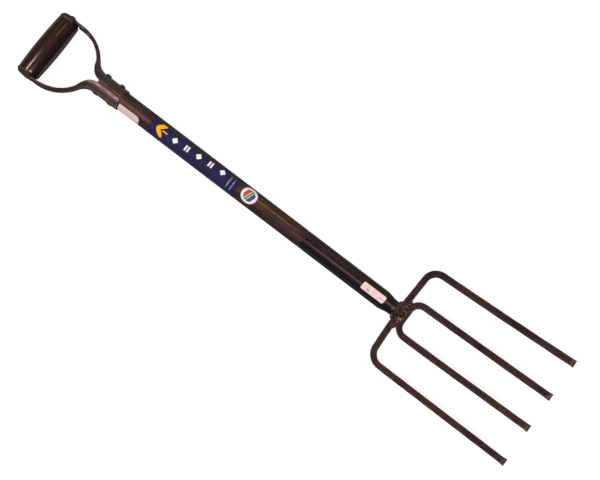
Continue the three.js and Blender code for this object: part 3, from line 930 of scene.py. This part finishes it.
def strap_section(ends, distance):
    """The dished section at a distance along the strap: half tube, narrow bend, arm and ear."""
    bend = smooth(distance, ends[0] - 3, ends[2])
    arm = smooth(distance, ends[2], ends[3])
    ear = smooth(distance, ends[3] - 16, ends[4])
    half_width = lerp(STRAP_RADIUS * math.sin(STRAP_WRAP), 11.0, bend) + 2.5 * arm + 2.7 * ear
    depth = lerp(STRAP_RADIUS * (1 - math.cos(STRAP_WRAP)), 4.6, bend) + 0.6 * arm - 1.5 * ear
    rounding = 5.0
    lower = rounding - math.sqrt(max(rounding ** 2 - max(rounding - distance, 0) ** 2, 0))
    return dish(half_width, depth, lower)


def strap_arm(side):
    """The half tube and the arm as one swept sheet, always built towards +y."""
    legs = strap_legs(side)
    ends = list(accumulate(length for length, _ in legs))
    stations = []
    for distance in [0.0, 0.3, 1.0] + steps_between(2.0, ends[-1], 1.6):
        x, y, heading = walk(STRAP_END, STRAP_RADIUS, math.pi, legs, distance)
        outward = Vector((math.sin(heading), -math.cos(heading), 0))
        place = frame_at(Vector((x, y, 0)), Vector((0, 0, 1)), outward)
        stations.append((strap_section(ends, distance), place))
    return loft(stations)


def strap_ear(side):
    """Cup round the grip's end, about the grip's axis; its side wall fades out towards the arm."""
    wall = 1.8
    corner = 9.0
    corner_middle = (EAR_RADIUS - corner, EAR_FACE - corner)
    middle = Vector((GRIP_X, side * GRIP_OFFSET, 0))
    stations = []
    count = 120
    for k in range(count):
        angle = 2 * math.pi * k / count
        from_arm = math.degrees(abs(math.atan2(math.sin(angle), math.cos(angle))))
        rim = EAR_FACE - lerp(3.6, EAR_DEPTH, smooth(from_arm, 52, 80))
        outer = [(r, max(y, rim + 0.4)) for r, y in arc(corner_middle, corner, 90, 0, 10)]
        inner = [(r, max(y, rim + 0.4)) for r, y in arc(corner_middle, corner - wall, 0, 90, 10)]
        outline = [(ROD_HOLE, EAR_FACE - wall), (ROD_HOLE, EAR_FACE)] + outer
        outline += [(EAR_RADIUS - 0.4, rim), (EAR_RADIUS - wall + 0.4, rim)] + inner
        radial = Vector((math.cos(angle), 0, -math.sin(angle)))
        stations.append((outline, frame_at(middle, radial, Vector((0, 1, 0)))))
    return loft(stations, closed=True)


def strap(name, side):
    """Right (1) or left (-1) strap, its arm and ear fused into one skin."""
    shape = joined(strap_arm(side), strap_ear(side))
    if side < 0:
        shape = moved(shape, MIRROR_Y)
    piece = new_piece(name, *shape, sharp=180)
    fuse(piece, 0.55, 2)
    return roughen(piece, 0.22, 16, 53 + side)


def dome(seat, radius, height, count=8):
    """Profile of a domed head standing on a seat, from its rim to its crown."""
    points = [(radius - 0.15, seat), (radius, seat + 0.3)]
    for k in range(1, count + 1):
        angle = math.pi / 2 * k / count
        points.append((max(radius * math.cos(angle), 0.01), seat + 0.3 + (height - 0.3) * math.sin(angle)))
    return points


def rivet(name, x, middle, radius, reach, head, tail, seed):
    """A rivet across the fork: a domed head on the right and a hammered tail on the left.
    `head` and `tail` are (radius, height) pairs."""
    right = dome(reach, *head)
    left = [(r, -y) for r, y in reversed(dome(reach, *tail))]
    hammered_flat = -(reach + tail[1] * 0.8)
    left = [(r, max(y, hammered_flat)) for r, y in left]
    profile = left + [(radius, -reach), (radius, reach)] + right
    turn = Matrix.Translation((x, middle, 0)) @ ALONG_Y
    piece = new_piece(name, *moved(turned(profile, 48), turn), sharp=50)
    return roughen(piece, 0.22, 3.2, seed)


def wooden_grip():
    """Barrel that swells in the middle, with narrower ends in the ears and a bore for the rod."""
    seat_end = EAR_FACE - EAR_DEPTH - 0.4
    swell = [
        (lerp(GRIP_SHOULDER, GRIP_RADIUS, 1 - (y / seat_end) ** 2), y)
        for y in steps_between(0.8 - seat_end, seat_end - 0.8, 2)
    ]
    right = [(ROD_HOLE, GRIP_HALF_LENGTH)]
    right += arc((10.9, GRIP_HALF_LENGTH - 6.0), 5.9, 90, 0, 8)
    right += [(GRIP_END_RADIUS, seat_end), (GRIP_SHOULDER - 0.7, seat_end)]
    right += [(GRIP_SHOULDER - 0.1, seat_end - 0.3)]
    left = [(r, -y) for r, y in right]
    bore = [(ROD_HOLE, y) for y in steps_between(GRIP_HALF_LENGTH, -GRIP_HALF_LENGTH, 20)]
    profile = left + swell + list(reversed(right)) + bore[1:]
    turn = Matrix.Translation((GRIP_X, GRIP_OFFSET, 0)) @ ALONG_Y
    piece = new_piece("wooden_grip", *moved(turned(profile, 128), turn), sharp=40)
    return roughen(piece, 0.06, 40, 59, 1)


# ---- label edges and prints
def clipped_edge(share):
    """Ends of the shaft's price label: its lower corner towards the front is clipped."""
    clipped = smooth(share, 0.78, 0.95)
    return 0.6 * share - SHAFT_PRICE_HALF, SHAFT_PRICE_HALF - 1.2 * share - 4.0 * clipped


def round_edge(share):
    """Ends of a disc."""
    half = DISC_RADIUS * math.sqrt(max(1 - share ** 2, 0.0016))
    return -half, half


def rounded_edge(half_width, half_length, corner, skew):
    """Ends of a rectangle with rounded corners that is turned a little on the socket."""
    def edge(share):
        inset = max(0.0, abs(share) * half_width - (half_width - corner))
        cut = corner - math.sqrt(max(corner ** 2 - inset ** 2, 0))
        return cut - half_length + skew * share, half_length - cut + skew * share
    return edge


def navy_print():
    """Navy label: an orange leaf pair, plain white lozenges and bars, and two thin lines."""
    n = Nodes("navy_print")
    ink = Print(n)
    n.colour = n.mix(n.ramp(n.noise(0.012, 4), 0.3, 0.7), srgb(20, 18, 46), srgb(23, 20, 52))
    leaf_x = 23.0 - WRAP_HALF
    leaves = ink.either(
        ink.oval((WRAP_FRONT - 6.0, leaf_x - 3.0), (3.6, 10.0), 40),
        ink.oval((WRAP_FRONT + 4.6, leaf_x - 3.0), (3.6, 10.0), -40),
        ink.box((WRAP_FRONT - 0.7, leaf_x + 6.0), (1.0, 5.0)),
    )
    n.paint(leaves, srgb(210, 138, 12))
    marks = []
    for k in range(5):
        middle = (WRAP_FRONT - 1.3 + 1.5 * k, 50.6 + 23.6 * k - WRAP_HALF)
        if k % 2 == 0:
            marks.append(ink.box(middle, (4.0, 4.0), 45))
        else:
            marks.append(ink.box((middle[0], middle[1] - 2.6), (5.0, 1.5)))
            marks.append(ink.box((middle[0], middle[1] + 2.6), (5.0, 1.5)))
    n.paint(ink.either(*marks), srgb(194, 187, 191))
    lines = [
        ink.box((WRAP_FRONT + 0.2, 162.5 + 7.8 * k - WRAP_HALF), (14.5 - 1.5 * k, 0.7), 0, 0.5)
        for k in range(2)
    ]
    broken = n.ramp(n.noise(0.0016, 3), 0.40, 0.56)
    n.paint(n.times(ink.either(*lines), broken, 0.8), srgb(163, 159, 168))
    return paper(n, roughness=0.7, specular=0.1)


def round_print():
    """White disc with plain coloured bars and a grey border."""
    n = Nodes("round_print")
    ink = Print(n)
    inner = ink.oval((0, 0), (10.4, 10.4), 0, 0.03)
    n.colour = srgb(194, 182, 181)
    bars = ((-6.5, 3.4, srgb(146, 52, 43)), (0, 2.0, srgb(79, 110, 57)), (6.5, 3.4, srgb(48, 48, 100)))
    for middle, half, colour in bars:
        n.paint(n.times(inner, ink.box((0, middle), (12, half), 20)), colour)
    discs = [ink.oval((0, 0), (radius, radius), 0, 0.02) for radius in (13.4, 12.8)]
    border = n.minus(*discs)
    n.paint(n.times(border, 0.6), srgb(103, 99, 108))
    return paper(n, roughness=0.55, specular=0.15)


def price_print(name, lines, tint, bright, smudge=None):
    """White price label with faint grey marks, each (centre, half sizes, degrees), and a smudge."""
    n = Nodes(name)
    ink = Print(n)
    n.colour = n.mix(n.ramp(n.noise(0.006, 4), 0.3, 0.7), tint, bright)
    marks = [ink.box(centre, halves, turn, 0.3) for centre, halves, turn in lines]
    broken = n.ramp(n.noise(0.0018, 3), 0.42, 0.58)
    n.paint(n.times(ink.either(*marks), broken, 0.55), srgb(95, 82, 99))
    if smudge is not None:
        n.paint(n.times(ink.oval(*smudge), 0.7), srgb(58, 46, 46))
    return paper(n, roughness=0.65, specular=0.15)


# ---- making the fork
def make_head():
    tine = forged_steel("tine_steel", srgb(44, 28, 28), srgb(27, 18, 18), srgb(84, 62, 58),
                        roughness=0.45, specular=0.03, bump=0.22, tone=srgb(44, 33, 26), wear_and_light=tine_wear)
    outer = bent_bar("outer_tines", OUTER_BAR, 0.0, 3)
    finish_piece(outer, tine, ["outer_tine_bar"])
    inner = bent_bar("inner_tines", INNER_BAR, INNER_TOP, 11)
    finish_piece(inner, tine, ["inner_tine_bar"])
    nodes = ["neck_weld", "front_weld", "back_weld", "shoulder_weld_left", "shoulder_weld_right"]
    finish_piece(weld_metal(), weld_steel(), nodes)


def make_shaft():
    wood = stained_wood("shaft_wood", "X", srgb(28, 20, 19), srgb(46, 32, 29), srgb(76, 51, 43),
                        roughness=0.40, specular=0.06, bump=0.16, streak_and_light=golden_streak_and_painted_light)
    finish_piece(wooden_shaft(), wood, ["shaft"])
    finish_piece(socket(), socket_paint(), ["socket"])
    rusty = forged_steel("nail_steel", srgb(30, 24, 22), srgb(22, 18, 17), srgb(70, 46, 34),
                         roughness=0.4, specular=0.05, bump=0.2, edge_wear_and_highlight=0.35)
    for place, x in zip(("upper", "lower"), NAIL_X):
        node = f"socket_nail_{place}"
        finish_piece(nail(f"{node}_head", x), rusty, [node])


def make_handle():
    # The straps' pale edges are partly a painted highlight along the rims.
    sheet = forged_steel("strap_steel_paint", srgb(41, 28, 25), srgb(32, 22, 19), srgb(118, 88, 79),
                         roughness=0.36, specular=strap_shine, bump=0.05, edge_wear_and_highlight=0.75, edge=0.54,
                         scale=0.35, wear_and_light=strap_painted_light)
    rivets = forged_steel("rivet_paint", srgb(40, 28, 25), srgb(28, 20, 18), srgb(79, 60, 53),
                          roughness=0.38, specular=0.45, bump=0.15)
    for place, side in (("right", 1), ("left", -1)):
        finish_piece(strap(f"{place}_strap", side), sheet, [f"strap_{place}"])
    for i, place in enumerate(("upper", "lower")):
        node = f"strap_rivet_{place}"
        piece = rivet(f"{node}_body", STRAP_RIVET_X[i], 0.0, radius=3.0, reach=STRAP_RADIUS + 0.1,
                      head=(5.0, 3.5), tail=(4.4, 1.1), seed=61 + i)
        finish_piece(piece, rivets, [node])
    pin = rivet("grip_rod_body", GRIP_X, GRIP_OFFSET, radius=4.0, reach=EAR_FACE + 0.1,
                head=(5.3, 3.3), tail=(5.0, 1.2), seed=67)
    finish_piece(pin, rivets, ["grip_rod"])
    varnished = stained_wood("grip_wood", "Y", srgb(19, 12, 11), srgb(29, 18, 16), srgb(56, 35, 30),
                             roughness=0.15, specular=0.32, bump=0.002, streak_and_light=grip_streak_and_shade)
    finish_piece(wooden_grip(), varnished, ["grip"], body="grip")


def make_labels():
    wrap = label_patch("wrap_paper", WRAP_X, WRAP_ANGLE, WRAP_HALF_ROUND, WRAP_HALF)
    finish_piece(wrap, navy_print(), ["wrap_label"])
    disc = label_patch("round_paper_disc", DISC_X, DISC_ANGLE, DISC_RADIUS - 0.1, DISC_RADIUS - 0.1,
                       spacing=0.5, lift=0.1, edge=round_edge)
    finish_piece(disc, round_print(), ["round_label"])
    piece = label_patch("shaft_price_paper", SHAFT_PRICE_X, SHAFT_PRICE_ANGLE, SHAFT_PRICE_HALF_ROUND,
                        SHAFT_PRICE_HALF, edge=clipped_edge)
    lines = [((9, -8), (0.5, 7), 0), ((6, 2), (0.5, 9), 0), ((3, -4), (0.5, 10), 0)]
    printed = price_print("shaft_price_print", lines, srgb(166, 143, 140), srgb(180, 159, 156))
    finish_piece(piece, printed, ["shaft_price_label"])
    piece = label_patch("socket_price_paper", SOCKET_PRICE_X, SOCKET_PRICE_ANGLE, SOCKET_PRICE_HALF_ROUND,
                        SOCKET_PRICE_HALF, spacing=0.5,
                        edge=rounded_edge(SOCKET_PRICE_HALF_ROUND, SOCKET_PRICE_HALF, 2.6, 0.4))
    lines = [((-1.5, -10), (0.8, 3.0), 25), ((0.5, 4), (0.5, 4), 10), ((-1, 14), (0.4, 3), 0)]
    printed = price_print("socket_price_print", lines, srgb(180, 155, 152), srgb(194, 170, 167),
                        smudge=((-2.0, -10.5), (0.9, 3.2), 20))
    finish_piece(piece, printed, ["socket_price_label"])


# ---- camera, floor and light
CAMERA_DISTANCE = 1.43
TURN_ABOUT_SHAFT = 0.1  # the fork's left side is turned up towards the camera
SHAFT_SLOPE = math.radians(37.354)  # of the shaft in the picture, down to the right
PIXELS_ACROSS = 600
SENSOR_MM = 36.0
METRES_PER_PIXEL = 0.001675
AIM_X, AIM_RIGHT = -3.0, -4.9  # millimetres from the socket's mouth, along the shaft and to the right
FLOOR_HALF = 6.0
# Each lamp: place, point that it faces, width, height and watts.
LAMPS = {
    "window": ((-1.0, -0.67, 1.75), (-1.0, -0.67, 0), 0.5, 1.3, 46),
    "strip": ((0.4, -0.36, 1.75), (0.4, -0.36, 0), 1.0, 0.12, 31),
    "fill": ((0.2, 2.0, 1.6), (0.1, 0, 0), 2.5, 1.6, 26),
}


def make_camera():
    """Looks square at the fork's front from above, with the shaft sloping down to the right."""
    toward = Vector((0, -math.sin(TURN_ABOUT_SHAFT), math.cos(TURN_ABOUT_SHAFT)))
    fork_right = Vector((0, math.cos(TURN_ABOUT_SHAFT), math.sin(TURN_ABOUT_SHAFT)))
    down_shaft = Vector((1, 0, 0))
    right = down_shaft * math.cos(SHAFT_SLOPE) + fork_right * math.sin(SHAFT_SLOPE)
    up = fork_right * math.cos(SHAFT_SLOPE) - down_shaft * math.sin(SHAFT_SLOPE)
    target = Vector((MOUTH_X + AIM_X * MM, 0, AXIS_Z)) + fork_right * AIM_RIGHT * MM
    camera = add_object("camera", bpy.data.cameras.new("camera"))
    turn = Matrix((right, up, toward)).transposed().to_4x4()
    camera.matrix_world = Matrix.Translation(target + toward * CAMERA_DISTANCE) @ turn
    camera.data.sensor_width = SENSOR_MM
    camera.data.lens = SENSOR_MM * (CAMERA_DISTANCE / METRES_PER_PIXEL) / PIXELS_ACROSS
    bpy.context.scene.camera = camera


def make_floor():
    """Pale floor that glows faintly, so that it is plain white and takes almost no shadow."""
    mesh = bpy.data.meshes.new("floor")
    corners = [(x * FLOOR_HALF, y * FLOOR_HALF, 0) for x, y in ((-1, -1), (1, -1), (1, 1), (-1, 1))]
    mesh.from_pydata(corners, [], [(0, 1, 2, 3)])
    floor = add_object("floor", mesh)
    n = Nodes("pale_floor")
    n.set(Base_Color=(0.15, 0.15, 0.15, 1), Roughness=0.9, Specular_IOR_Level=0.0)
    n.set(Emission_Color=(1.0, 1.0, 1.0, 1), Emission_Strength=0.86)
    mesh.materials.append(n.material)


def area_light(name, place, aim, width, height, power):
    light = bpy.data.lights.new(name, "AREA")
    light.shape = "RECTANGLE"
    light.size = width
    light.size_y = height
    light.energy = power
    lamp = add_object(name, light)
    lamp.location = place
    lamp.rotation_mode = "QUATERNION"
    lamp.rotation_quaternion = (Vector(aim) - Vector(place)).to_track_quat("-Z", "Y")


def make_light():
    world = bpy.data.worlds.new("studio")
    world.use_nodes = True
    background = world.node_tree.nodes["Background"]
    background.inputs["Color"].default_value = (1.0, 0.98, 0.97, 1)
    background.inputs["Strength"].default_value = 0.14
    bpy.context.scene.world = world
    for name, lamp in LAMPS.items():
        area_light(name, *lamp)
    bpy.context.scene.view_settings.view_transform = "Standard"


make_camera()
make_floor()
make_light()
make_head()
make_shaft()
make_handle()
make_labels()
